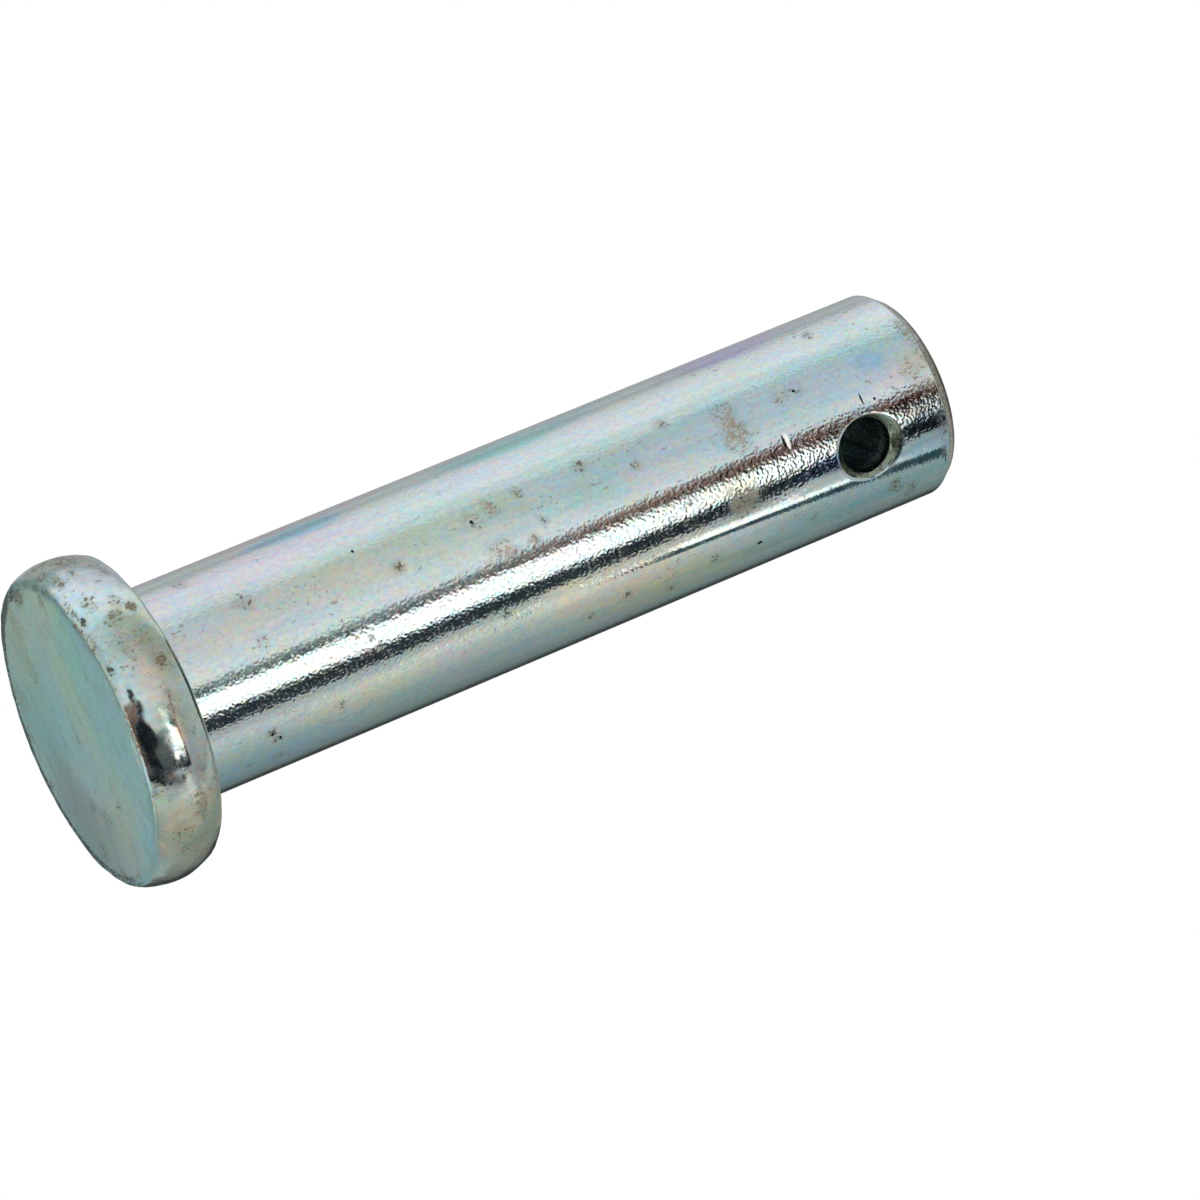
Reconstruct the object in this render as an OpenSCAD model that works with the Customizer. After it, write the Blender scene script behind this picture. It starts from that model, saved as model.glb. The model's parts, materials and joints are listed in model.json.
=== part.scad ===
// Headed pin, forged and turned as one piece, with a cross hole near its tip.
// It stands on the outer face of its head, with the shank upright along +Z.
// The cross hole runs along Y.

/* [Shank] */
// Diameter of the shank
shank_d = 16; // [12:0.5:24]
// Length of the shank, from the underside of the head to the tip
shank_len = 65; // [35:1:160]
// Length of the chamfer round the tip, along the axis
tip_chamfer_len = 0.95; // [0.3:0.05:2]
// Depth of the chamfer round the tip, across the axis
tip_chamfer_in = 0.7; // [0.3:0.05:2]

/* [Head] */
// How far the head stands out past the shank, all round
head_lip = 4.25; // [3:0.25:8]
// Thickness of the head
head_h = 5.25; // [4:0.25:10]
// How far the rim bulges out at its middle, past its two ends
rim_bulge = 0.7; // [0.2:0.05:1]
// Radius of the rounded edge at the outer face
face_edge_r = 0.5; // [0.3:0.05:0.9]
// Radius of the rounded edge at the underside
seat_edge_r = 0.6; // [0.3:0.05:0.9]
// Radius of the fillet between the shank and the underside
neck_r = 0.6; // [0.3:0.05:0.9]

/* [Cross hole] */
// Diameter of the cross hole
hole_d = 4.1; // [2:0.1:6]
// Distance from the tip to the centre of the cross hole
hole_from_tip = 7.65; // [6:0.05:25]
// Depth of the countersink at each mouth, below the crest of the shank
sink_depth = 0.75; // [0.2:0.05:1.5]

/* [Hidden] */
$fn = 96;
// Extra reach of every cutting shape
over = 1;
// How far each edge arc reaches past the two surfaces that it joins, so that it crosses them
graze = 0.01;
shank_r = shank_d / 2;
head_r = shank_r + head_lip;
tip_z = head_h + shank_len;
hole_r = hole_d / 2;
hole_z = tip_z - hole_from_tip;
// The rim is one arc through its bulge and its two ends
rim_r = (pow(head_h / 2, 2) + pow(rim_bulge, 2)) / (2 * rim_bulge);
rim_x = head_r - rim_r;

// Centre of an edge arc of radius r between the rim arc and the plane at height z;
// side is 1 where the head lies above that plane and -1 where it lies below
function edge_z(r, z, side) = z + side * r;
function edge_x(r, z, side) =
    rim_x + sqrt(pow(rim_r - r, 2) - pow(edge_z(r, z, side) - head_h / 2, 2));

// What rounding one edge of the head takes away
module edge_waste(r, z, side) {
    cx = edge_x(r, z, side);
    cz = edge_z(r, z, side);
    out = [cx - rim_x, cz - head_h / 2];
    far = 4 * r / norm(out);
    difference() {
        polygon([
            [cx, cz],
            [cx, z - side * over],
            [cx + 4 * r, z - side * over],
            [cx + out[0] * far, cz + out[1] * far],
        ]);
        translate([cx, cz]) circle(r = r + graze);
    }
}

// Half section of the head: a slab with a barrel rim and two rounded edges
module head_section() {
    difference() {
        intersection() {
            square([head_r + over, head_h]);
            translate([rim_x, head_h / 2]) circle(r = rim_r);
        }
        edge_waste(face_edge_r, 0, 1);
        edge_waste(seat_edge_r, head_h, -1);
    }
}

// Half section of the shank, with its chamfered tip
module shank_section() {
    polygon([
        [0, 0],
        [shank_r, 0],
        [shank_r, tip_z - tip_chamfer_len],
        [shank_r - tip_chamfer_in, tip_z],
        [0, tip_z],
    ]);
}

// Half section of the fillet where the shank meets the head
module neck_section() {
    translate([shank_r, head_h])
        difference() {
            square(neck_r);
            translate([neck_r, neck_r]) circle(r = neck_r + graze);
        }
}

// The cross hole, with a 45 degree countersink at both mouths
module cross_hole() {
    translate([0, 0, hole_z])
        rotate([90, 0, 0]) {
            cylinder(r = hole_r, h = shank_d + 2 * over, center = true);
            for (side = [0, 180])
                rotate([side, 0, 0])
                    translate([0, 0, shank_r - sink_depth])
                        cylinder(r1 = hole_r, r2 = hole_r + sink_depth + over, h = sink_depth + over);
        }
}

module anchor_pin() {
    color("#b4bfbd")
        difference() {
            rotate_extrude()
                union() {
                    head_section();
                    shank_section();
                    neck_section();
                }
            cross_hole();
        }
}

anchor_pin();
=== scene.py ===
"""A zinc-plated anchor pin: one forged and turned piece, standing on its head, in a plain white studio."""

import functools
import json
import math

import bmesh
import bpy
import numpy as np
from mathutils import Matrix, Vector, noise


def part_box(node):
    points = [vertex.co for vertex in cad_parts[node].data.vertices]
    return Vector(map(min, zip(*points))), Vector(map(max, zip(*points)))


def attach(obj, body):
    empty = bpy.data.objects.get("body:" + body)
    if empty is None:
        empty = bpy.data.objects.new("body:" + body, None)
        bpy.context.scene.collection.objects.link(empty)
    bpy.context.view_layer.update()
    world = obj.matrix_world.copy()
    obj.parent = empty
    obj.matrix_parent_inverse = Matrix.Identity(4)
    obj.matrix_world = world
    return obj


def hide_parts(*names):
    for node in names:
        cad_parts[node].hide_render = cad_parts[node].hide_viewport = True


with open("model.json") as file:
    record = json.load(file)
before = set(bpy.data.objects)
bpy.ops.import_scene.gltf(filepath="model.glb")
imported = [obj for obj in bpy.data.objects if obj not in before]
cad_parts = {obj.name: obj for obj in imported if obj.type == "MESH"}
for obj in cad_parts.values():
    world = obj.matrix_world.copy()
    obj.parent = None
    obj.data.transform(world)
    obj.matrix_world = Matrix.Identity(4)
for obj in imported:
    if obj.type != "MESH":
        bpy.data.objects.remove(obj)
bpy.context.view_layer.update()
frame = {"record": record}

MM = 0.001

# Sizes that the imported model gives
MOUNTS = {mount["name"]: mount for mount in frame["record"]["mounts"]}
LOW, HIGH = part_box("anchor_pin")
TIP_Z = HIGH.z
HEAD_R = (HIGH.x - LOW.x) / 2
SEAT_Z = MOUNTS["head_seat"]["pos_m"][2]
SHANK_R = MOUNTS["shank"]["dims"]["r_mm"] * MM
HOLE_R = MOUNTS["cross_hole"]["dims"]["r_mm"] * MM
HOLE_Z = MOUNTS["cross_hole"]["pos_m"][2]
SINK_START = MOUNTS["cross_hole"]["dims"]["length_mm"] * MM / 2

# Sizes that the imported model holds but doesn't name
RIM_BULGE = 0.7 * MM
FACE_EDGE_R = 0.5 * MM
SEAT_EDGE_R = 0.6 * MM
NECK_R = 0.6 * MM
TIP_CHAMFER_LEN = 0.95 * MM
TIP_CHAMFER_IN = 0.7 * MM
# The forged head sits slightly to one side of the shank
HEAD_SHIFT = Vector((0.18, -0.07, 0)) * MM

# The side that the camera sees, as an angle about the pin's axis. Angles round the pin start here.
FRONT = math.radians(-112.0)


# Camera

CAMERA_REACH = 386.1 * MM
CAMERA_HEIGHT = -122.3 * MM
VIEW_AZIMUTH = math.radians(67.147)
VIEW_ELEVATION = math.radians(22.929)
VIEW_ROLL = math.radians(67.171)
LENS_MM = 171.33
SENSOR_MM = 36
CLIP_START = 0.01


def make_camera():
    """The camera of the photograph: close to the pin and a little below its head, rolled."""
    level = math.cos(VIEW_ELEVATION)
    ahead = Vector((
        level * math.cos(VIEW_AZIMUTH), level * math.sin(VIEW_AZIMUTH), math.sin(VIEW_ELEVATION)))
    flat_right = ahead.cross(Vector((0, 0, 1))).normalized()
    flat_up = flat_right.cross(ahead)
    right = math.cos(VIEW_ROLL) * flat_right + math.sin(VIEW_ROLL) * flat_up
    up = math.cos(VIEW_ROLL) * flat_up - math.sin(VIEW_ROLL) * flat_right
    data = bpy.data.cameras.new("camera")
    data.lens = LENS_MM
    data.sensor_width = SENSOR_MM
    data.clip_start = CLIP_START
    camera = bpy.data.objects.new("camera", data)
    camera.matrix_world = Matrix((right, up, -ahead)).transposed().to_4x4()
    camera.location = (CAMERA_REACH * math.cos(FRONT), CAMERA_REACH * math.sin(FRONT), CAMERA_HEIGHT)
    bpy.context.scene.collection.objects.link(camera)
    bpy.context.scene.camera = camera


# Shape of the pin

# Points round the pin, and the longest steps on the shank, on the rim and chamfer, and on the flat faces
COLUMNS = 288
SHANK_STEP = 0.42 * MM
FINE_STEP = 0.18 * MM
FACE_STEP = 0.36 * MM
# Steps along each small arc of the section
HEAD_EDGE_STEPS = 8
NECK_STEPS = 6
CHAMFER_LOW_STEPS = 5
CHAMFER_HIGH_STEPS = 6
TIP_ROUND = 0.22 * MM
# Points closer than this are one point
WELD = 0.002 * MM

# Half width of the square round each mouth of the cross hole where the grid turns into rings
PATCH = 4.2 * MM
PATCH_ROWS = 26
PATCH_RINGS = 9
# Above 1, the rings lie closer together towards the mouth
RING_EASE = 1.3
# The mouth's edge is rounded: how far outside the sharp edge that starts, and how far it sinks there
MOUTH_ROUND = 0.07 * MM
MOUTH_SINK = 0.35 * MOUTH_ROUND
# Rings on the countersink, as shares of its width, and rings down the bore, the first just under it
SINK_RINGS = (0.9, 0.6, 0.3, 0.1)
BORE_RINGS = 12
BORE_START = 0.985
# The countersink slopes at 45 degrees, so at rho from the hole's axis it lies SINK_OUT + rho from the
# middle of the pin
SINK_OUT = SINK_START - HOLE_R


def arc(centre, radius, start, end, steps):
    """Points on an arc, from one angle to another in degrees."""
    angles = np.radians(np.linspace(start, end, steps + 1))
    return [(centre[0] + radius * math.cos(a), centre[1] + radius * math.sin(a)) for a in angles]


def line(start, end, step):
    """Points between two ends, the ends left out, at most one step apart."""
    count = max(2, math.ceil(math.dist(start, end) / step))
    return [tuple(p) for p in np.linspace(start, end, count + 1)[1:-1]]


def head_profile():
    """From near the centre of the outer face, round the rim, to the neck."""
    half = SEAT_Z / 2
    rim_r = (half ** 2 + RIM_BULGE ** 2) / (2 * RIM_BULGE)
    rim_x = HEAD_R - rim_r

    def edge(radius, z):
        """Centre of an edge arc that runs tangent into the rim."""
        return (rim_x + math.sqrt((rim_r - radius) ** 2 - (z - half) ** 2), z)

    face_edge = edge(FACE_EDGE_R, FACE_EDGE_R)
    seat_edge = edge(SEAT_EDGE_R, SEAT_Z - SEAT_EDGE_R)
    face_turn = math.degrees(math.atan2(face_edge[1] - half, face_edge[0] - rim_x))
    seat_turn = math.degrees(math.atan2(seat_edge[1] - half, seat_edge[0] - rim_x))
    points = line((0, 0), (face_edge[0], 0), FACE_STEP)
    points += arc(face_edge, FACE_EDGE_R, -90, face_turn, HEAD_EDGE_STEPS)
    points += arc((rim_x, half), rim_r, face_turn, seat_turn, round(SEAT_Z / FINE_STEP))[1:-1]
    points += arc(seat_edge, SEAT_EDGE_R, seat_turn, 90, HEAD_EDGE_STEPS)
    points += line((seat_edge[0], SEAT_Z), (SHANK_R + NECK_R, SEAT_Z), FACE_STEP)
    points += arc((SHANK_R + NECK_R, SEAT_Z + NECK_R), NECK_R, -90, -180, NECK_STEPS)
    return points


def tip_profile():
    """From the top of the plain shank, round the chamfer, to near the centre of the tip."""
    slope = math.degrees(math.atan2(TIP_CHAMFER_LEN, TIP_CHAMFER_IN))
    turn = 90 - slope
    low = (SHANK_R, TIP_Z - TIP_CHAMFER_LEN)
    high = (SHANK_R - TIP_CHAMFER_IN, TIP_Z)
    low_back = TIP_ROUND * math.tan(math.radians(turn / 2))
    high_back = TIP_ROUND * math.tan(math.radians(slope / 2))
    low_arc = arc((SHANK_R - TIP_ROUND, low[1] - low_back), TIP_ROUND, 0, turn, CHAMFER_LOW_STEPS)
    high_arc = arc((high[0] - high_back, TIP_Z - TIP_ROUND), TIP_ROUND, turn, 90, CHAMFER_HIGH_STEPS)
    middle = line(low_arc[-1], high_arc[0], FINE_STEP)
    return low_arc + middle + high_arc + line((high_arc[-1][0], TIP_Z), (0, TIP_Z), FACE_STEP)


def shank_heights(start, end):
    """Heights of the rows on the plain shank, with even rows across the patch of the cross hole."""
    low, high = HOLE_Z - PATCH, HOLE_Z + PATCH
    below = np.linspace(start, low, math.ceil((low - start) / SHANK_STEP) + 1)
    across = np.linspace(low, high, PATCH_ROWS + 1)
    above = np.linspace(high, end, math.ceil((end - high) / SHANK_STEP) + 1)
    return list(below[1:]) + list(across[1:-1]) + list(above[:-1])


def mouth_radius(turn):
    """Distance from the cross hole's axis to the edge of its mouth, at an angle round the hole."""
    # The countersink meets the shank where (SINK_OUT + rho)^2 + (rho cos turn)^2 is the square of the
    # shank's radius
    a = 1 + math.cos(turn) ** 2
    return (-SINK_OUT + math.sqrt(SINK_OUT ** 2 - a * (SINK_OUT ** 2 - SHANK_R ** 2))) / a


def shank_point(centre, start, turn, goal_rho, share):
    """A point on the shank, a share of the way from a border point to goal_rho from the hole's axis."""
    along, up = start
    goal_along = SHANK_R * math.asin(goal_rho * math.cos(turn) / SHANK_R)
    goal_up = goal_rho * math.sin(turn)
    angle = centre + (along + (goal_along - along) * share) / SHANK_R
    height = HOLE_Z + up + (goal_up - up) * share
    return Vector((SHANK_R * math.cos(angle), SHANK_R * math.sin(angle), height))


def hole_point(turn, rho, out, side):
    """The point at an angle round the cross hole, at rho from its axis and out from the pin's axis."""
    return Vector((-side * rho * math.cos(turn), side * out, HOLE_Z + rho * math.sin(turn)))


def add_mouth(mesh, border, side):
    """Joins the square border on the shank to the bore by rings, down to the middle of the bore."""
    centre = math.pi / 2 * side
    starts = []
    for vert in border:
        lateral = (math.atan2(vert.co.y, vert.co.x) - centre + math.pi) % (2 * math.pi) - math.pi
        starts.append((lateral * SHANK_R, vert.co.z - HOLE_Z))
    turns = [math.atan2(up, along) for along, up in starts]
    edges = [mouth_radius(turn) for turn in turns]

    rings = []
    for ring in range(1, PATCH_RINGS + 1):
        share = 1 - (1 - ring / PATCH_RINGS) ** RING_EASE
        rings.append([shank_point(centre, start, turn, edge + MOUTH_ROUND, share)
                      for start, turn, edge in zip(starts, turns, edges)])
    rings.append([hole_point(turn, edge, SINK_OUT + edge - MOUTH_SINK, side)
                  for turn, edge in zip(turns, edges)])
    for share in SINK_RINGS:
        places = [HOLE_R + (edge - HOLE_R) * share for edge in edges]
        rings.append([hole_point(turn, rho, SINK_OUT + rho, side) for turn, rho in zip(turns, places)])
    for share in np.linspace(BORE_START, 0, BORE_RINGS):
        rings.append([hole_point(turn, HOLE_R, SINK_START * share, side) for turn in turns])

    last = border
    for ring in rings:
        verts = [mesh.verts.new(point) for point in ring]
        join_rings(mesh, last, verts)
        last = verts


def join_rings(mesh, first, second):
    count = len(first)
    for k in range(count):
        mesh.faces.new((first[k], first[(k + 1) % count], second[(k + 1) % count], second[k]))


def make_grid(mesh):
    """The turned skin of the pin, with two square gaps where the cross hole comes out."""
    head = head_profile()
    tip = tip_profile()
    heights = shank_heights(head[-1][1], tip[0][1])
    profile = head + [(SHANK_R, z) for z in heights] + tip
    gap_low = len(head) + heights.index(min(heights, key=lambda z: abs(z - HOLE_Z + PATCH)))
    gap_high = gap_low + PATCH_ROWS
    reach = round(PATCH / SHANK_R / (2 * math.pi / COLUMNS))
    gaps = {1: COLUMNS // 4, -1: 3 * COLUMNS // 4}

    def inside(row, column, margin):
        return gap_low + margin <= row <= gap_high - margin and any(
            abs(column - middle) <= reach - margin for middle in gaps.values())

    grid = []
    for row, (radius, z) in enumerate(profile):
        ring = []
        for column in range(COLUMNS):
            angle = 2 * math.pi * column / COLUMNS
            place = (radius * math.cos(angle), radius * math.sin(angle), z)
            ring.append(None if inside(row, column, 1) else mesh.verts.new(place))
        grid.append(ring)
    for row in range(len(grid) - 1):
        for column in range(COLUMNS):
            after = (column + 1) % COLUMNS
            corners = (grid[row][column], grid[row][after], grid[row + 1][after], grid[row + 1][column])
            cell_in_gap = gap_low <= row < gap_high and any(
                middle - reach <= column < middle + reach for middle in gaps.values())
            if not cell_in_gap:
                mesh.faces.new(corners)
    for ring, z in ((grid[0], 0), (grid[-1], TIP_Z)):
        centre = mesh.verts.new((0, 0, z))
        for column in range(COLUMNS):
            mesh.faces.new((ring[column], ring[(column + 1) % COLUMNS], centre))
    for side, middle in gaps.items():
        left, right = middle - reach, middle + reach
        border = [grid[gap_low][c] for c in range(left, right)]
        border += [grid[r][right] for r in range(gap_low, gap_high)]
        border += [grid[gap_high][c] for c in range(right, left, -1)]
        border += [grid[r][left] for r in range(gap_high, gap_low, -1)]
        add_mouth(mesh, border, side)


def make_pin():
    mesh = bmesh.new()
    make_grid(mesh)
    bmesh.ops.remove_doubles(mesh, verts=mesh.verts[:], dist=WELD)
    bmesh.ops.recalc_face_normals(mesh, faces=mesh.faces[:])
    mesh.normal_update()
    for face in mesh.faces:
        face.smooth = True
    data = bpy.data.meshes.new("pin_skin")
    mesh.to_mesh(data)
    mesh.free()
    pin = bpy.data.objects.new("pin_skin", data)
    bpy.context.scene.collection.objects.link(pin)
    return pin


# Shader arithmetic


class Field:
    """A value that varies from place to place. Arithmetic with it adds the nodes that work it out."""

    def __init__(self, tree, socket):
        self.tree = tree
        self.socket = socket

    def __add__(self, other):
        return worked(self.tree, "ADD", self, other)

    def __sub__(self, other):
        return worked(self.tree, "SUBTRACT", self, other)

    def __rsub__(self, other):
        return worked(self.tree, "SUBTRACT", other, self)

    def __mul__(self, other):
        return worked(self.tree, "MULTIPLY", self, other)

    def __abs__(self):
        return worked(self.tree, "ABSOLUTE", self)

    __radd__ = __add__
    __rmul__ = __mul__

    def at_least(self, other):
        return worked(self.tree, "MAXIMUM", self, other)

    def ramp(self, low, high, to_low, to_high, smoothly=True):
        """Goes from to_low at low to to_high at high, and stays level outside them."""
        node = self.tree.nodes.new("ShaderNodeMapRange")
        node.interpolation_type = "SMOOTHSTEP" if smoothly else "LINEAR"
        feed(self.tree, node.inputs["Value"], self)
        for name, number in (("From Min", low), ("From Max", high), ("To Min", to_low), ("To Max", to_high)):
            node.inputs[name].default_value = number
        return Field(self.tree, node.outputs[0])

    def between(self, low, high, soft):
        """1 between low and high, and 0 outside, with soft ends."""
        rising = self.ramp(low - soft / 2, low + soft / 2, 0, 1)
        return rising * self.ramp(high - soft / 2, high + soft / 2, 1, 0)

    def vector(self, operation, other=(0, 0, 0), out="Vector"):
        """What comes out of a new vector maths node."""
        node = self.tree.nodes.new("ShaderNodeVectorMath")
        node.operation = operation
        feed(self.tree, node.inputs[0], self)
        feed(self.tree, node.inputs[1], other)
        return Field(self.tree, node.outputs[out])

    def length(self):
        return self.vector("LENGTH", out="Value")

    def facing(self):
        """The same vector turned about the pin's axis, so that x points to the front."""
        node = self.tree.nodes.new("ShaderNodeVectorRotate")
        node.rotation_type = "Z_AXIS"
        node.inputs["Angle"].default_value = -FRONT
        feed(self.tree, node.inputs["Vector"], self)
        return Field(self.tree, node.outputs[0])

    def parts(self, kind="ShaderNodeSeparateXYZ"):
        """The three numbers of a vector, or of a colour."""
        node = self.tree.nodes.new(kind)
        feed(self.tree, node.inputs[0], self)
        return [Field(self.tree, socket) for socket in node.outputs[:3]]

    def grain(self, stretch, detail=2.0, roughness=0.5, kind="Fac"):
        """Noise over a place in millimetres, with its own stretch along each axis."""
        node = self.tree.nodes.new("ShaderNodeTexNoise")
        node.inputs["Scale"].default_value = 1
        node.inputs["Detail"].default_value = detail
        node.inputs["Roughness"].default_value = roughness
        feed(self.tree, node.inputs["Vector"], self.vector("MULTIPLY", stretch))
        return Field(self.tree, node.outputs[kind])


def feed(tree, socket, value):
    """Puts a field, a number or a colour into a socket."""
    if isinstance(value, Field):
        tree.links.new(value.socket, socket)
    else:
        socket.default_value = value


def source(tree, node_type, output, **settings):
    """What comes out of a new node that takes nothing in."""
    node = tree.nodes.new(node_type)
    for name, value in settings.items():
        setattr(node, name, value)
    return Field(tree, node.outputs[output])


def worked(tree, operation, *values):
    """What comes out of a new maths node."""
    node = tree.nodes.new("ShaderNodeMath")
    node.operation = operation
    for socket, value in zip(node.inputs, values):
        feed(tree, socket, value)
    return Field(tree, node.outputs[0])


def mixed(tree, share, first, second, blend="MIX"):
    """The first colour, with a share of the second over it."""
    node = tree.nodes.new("ShaderNodeMix")
    node.data_type = "RGBA"
    node.blend_type = blend
    for socket, value in zip((node.inputs[0], node.inputs[6], node.inputs[7]), (share, first, second)):
        feed(tree, socket, value)
    return Field(tree, node.outputs[2])


def shaded(tree, node_type, colour=None):
    """A plain shader, in a colour of its own where one is given."""
    node = tree.nodes.new(node_type)
    if colour is not None:
        feed(tree, node.inputs["Color"], colour)
    return Field(tree, node.outputs[0])


def chosen(tree, share, first, second):
    """The first shader where the share is 0, and the second where it is 1."""
    node = tree.nodes.new("ShaderNodeMixShader")
    for socket, value in zip(node.inputs, (share, first, second)):
        feed(tree, socket, value)
    return Field(tree, node.outputs[0])


# Studio

# An end of a panel that is past any azimuth or height
OPEN = 200

# What stands round the pin, by azimuth from the front: degrees, brightness, tint
PALE = (0.96, 1.0, 1.02)
GREY = (0.93, 1.0, 0.98)
TEAL = (0.80, 1.0, 0.99)
TENT = (
    (-180, 0.40, PALE), (-150, 0.50, PALE), (-141, 0.62, PALE), (-132, 0.50, PALE), (-118, 0.84, PALE),
    (-98, 1.06, PALE), (-84, 1.10, PALE), (-76, 0.98, PALE), (-70, 1.00, PALE), (-63, 0.74, PALE),
    (-45, 0.76, PALE), (-20, 0.88, PALE), (0, 1.03, PALE), (60, 0.58, GREY), (71, 0.80, GREY),
    (87, 0.58, GREY), (106, 0.44, TEAL), (126, 0.35, TEAL), (146, 0.22, TEAL), (154, 0.06, TEAL),
    (180, 0.05, TEAL),
)

# Panels round the lamp, each over the ones before: tint, azimuth and height from and to, softness
LAMP_PANELS = (
    # Housing on the near side: grey, with brown and then black above
    ((0.32, 0.38, 0.39), (5, 26), (13, 24), 2),
    ((0.10, 0.14, 0.15), (10, 26), (13, 24.2), 2),
    ((0.42, 0.27, 0.24), (2.2, 26), (23.4, 31), 1.6),
    ((0.32, 0.18, 0.16), (9.5, 26), (23.4, 24.8), 2),
    ((0.17, 0.096, 0.084), (2.0, 26), (25.6, 32), 1),
    ((0.012, 0.008, 0.008), (8.5, 26), (25.2, 32), 1.4),
    # Stand below it, dark grey and then black
    ((0.10, 0.13, 0.12), (14, 56), (-16, 6), 6),
    ((0.008, 0.010, 0.014), (-4, 58), (-75, -14), 5),
    # Back of the lamp, on its far side, darkest along the top
    ((0.030, 0.040, 0.048), (24, 54.5), (8, 26.2), 1.6),
    ((0.003, 0.004, 0.005), (24, 53), (25.0, 31), 1.6),
)
# A bright foot on the near side of the lamp
LAMP_FOOT = ((1.8, 1.8, 1.6), (10, 18.5), (1, 8), 2.5)
LAMP_COLOUR = (1.9, 1.92, 1.88, 1)
# A dull panel high behind the pin, on one side
CORNER_PANEL = ((0.42, 0.40, 0.34), (128, OPEN), (36, 80), 6)
# Height at which the thin dark edge of the tent is narrowest. Above it, the edge leans over and widens.
SLIT_FOOT = 23.8
# Matt surfaces are lit by a plain even white
EVEN_WHITE = (0.85, 0.85, 0.85, 1)


def with_panel(tree, colour, azimuth, height, panel):
    """The colour, with a soft-edged panel over it."""
    tint, sides, ends, soft = panel
    return mixed(tree, azimuth.between(*sides, soft) * height.between(*ends, soft), colour, (*tint, 1))


def tent_walls(tree, azimuth):
    ramp = tree.nodes.new("ShaderNodeValToRGB")
    stops = ramp.color_ramp.elements
    stops.remove(stops[-1])
    for index, (angle, brightness, tint) in enumerate(TENT):
        place = (angle + 180) / 360
        stop = stops.new(place) if index else stops[0]
        stop.position = place
        stop.color = (*(brightness * c for c in tint), 1)
    feed(tree, ramp.inputs[0], azimuth * (1 / 360) + 0.5)
    return Field(tree, ramp.outputs[0])


def with_ends(tree, colour, azimuth, height):
    """The walls with what lies below and above them."""
    # Grey-blue wall behind the pin, below the level of its head
    behind = 1 - azimuth.between(-118, 118, 20)
    colour = mixed(tree, height.between(-OPEN, 3, 8) * behind, colour, (0.34, 0.50, 0.52, 1))
    # Pale ground far below the head, and past the tip a ceiling that is dark on the front side
    colour = mixed(tree, height.between(-OPEN, -48, 12), colour, (0.95, 1.0, 0.92, 1))
    colour = with_panel(tree, colour, azimuth, height, CORNER_PANEL)
    ceiling = mixed(tree, behind, (0.03, 0.05, 0.035, 1), (0.40, 0.38, 0.32, 1))
    return mixed(tree, height.between(70, OPEN, 4), colour, ceiling)


def with_slit(tree, colour, azimuth, height):
    """A thin dark edge of the tent, slanted and curved, with a bright fold along its near side."""
    over = height - SLIT_FOOT
    bend = over * over
    late = (height - 25.5).at_least(0)
    off = azimuth - (71.6 + 1.9 * over + 0.76 * bend + 1.8 * late)
    half = 2.4 + 0.5 * bend
    from_edge = off + half
    fold = from_edge.ramp(-6.5, -3.5, 0, 1) * from_edge.ramp(-0.6, 0.6, 1, 0)
    fold = fold * height.ramp(25.5, 26.5, 1, 0.2)
    slit = (abs(off) - half).ramp(-0.6, 0.6, 1, 0)
    level = height.between(23.4, 27.9, 0.4)
    colour = mixed(tree, fold * level, colour, (1.60, 1.62, 1.55, 1))
    return mixed(tree, slit * level, colour, (0.04, 0.08, 0.10, 1))


def with_lamp(tree, colour, azimuth, height):
    """A slanted lamp in its dark housing. Both its top corners are cut away."""
    for panel in LAMP_PANELS:
        colour = with_panel(tree, colour, azimuth, height, panel)
    over = (height - 24).at_least(0)
    near_end = azimuth - 3.2 * over + height.ramp(9, 18.5, 5.5, 0)
    far_end = azimuth + height.ramp(9, 24, 6, 0) + height.ramp(24.6, 27.2, 0, 7)
    lamp = near_end.ramp(14, 19.5, 0, 1) * far_end.ramp(35.2, 40.5, 1, 0)
    colour = mixed(tree, lamp * height.between(4.5, 26.5, 0.6), colour, LAMP_COLOUR)
    return with_panel(tree, colour, azimuth, height, LAMP_FOOT)


def make_world():
    """A pale tent with one lamp. The camera sees plain white in its place."""
    world = bpy.data.worlds.new("studio")
    bpy.context.scene.world = world
    world.use_nodes = True
    tree = world.node_tree
    tree.nodes.clear()
    toward, aside, up = source(tree, "ShaderNodeTexCoord", "Generated").facing().parts()
    azimuth = worked(tree, "ARCTAN2", aside, toward) * (180 / math.pi)
    height = worked(tree, "ARCSINE", up) * (180 / math.pi)
    colour = with_ends(tree, tent_walls(tree, azimuth), azimuth, height)
    colour = with_slit(tree, colour, azimuth, height)
    colour = with_lamp(tree, colour, azimuth, height)
    colour = mixed(tree, source(tree, "ShaderNodeLightPath", "Is Diffuse Ray"), colour, EVEN_WHITE)

    seen = source(tree, "ShaderNodeLightPath", "Is Camera Ray")
    seen = seen.at_least(source(tree, "ShaderNodeLightPath", "Is Transmission Ray"))
    studio = shaded(tree, "ShaderNodeBackground", colour)
    white = shaded(tree, "ShaderNodeBackground", (1, 1, 1, 1))
    output = tree.nodes.new("ShaderNodeOutputWorld")
    feed(tree, output.inputs["Surface"], chosen(tree, seen, studio, white))


# Relief, colour and marks of the pin, with painted highlights and painted shade among the marks

BROWN = (0.22, 0.16, 0.10)
RUST = (0.30, 0.16, 0.10)
TAN = (0.52, 0.42, 0.30)
OLIVE = (0.30, 0.27, 0.14)
BLACK = (0.012, 0.014, 0.015)
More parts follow.
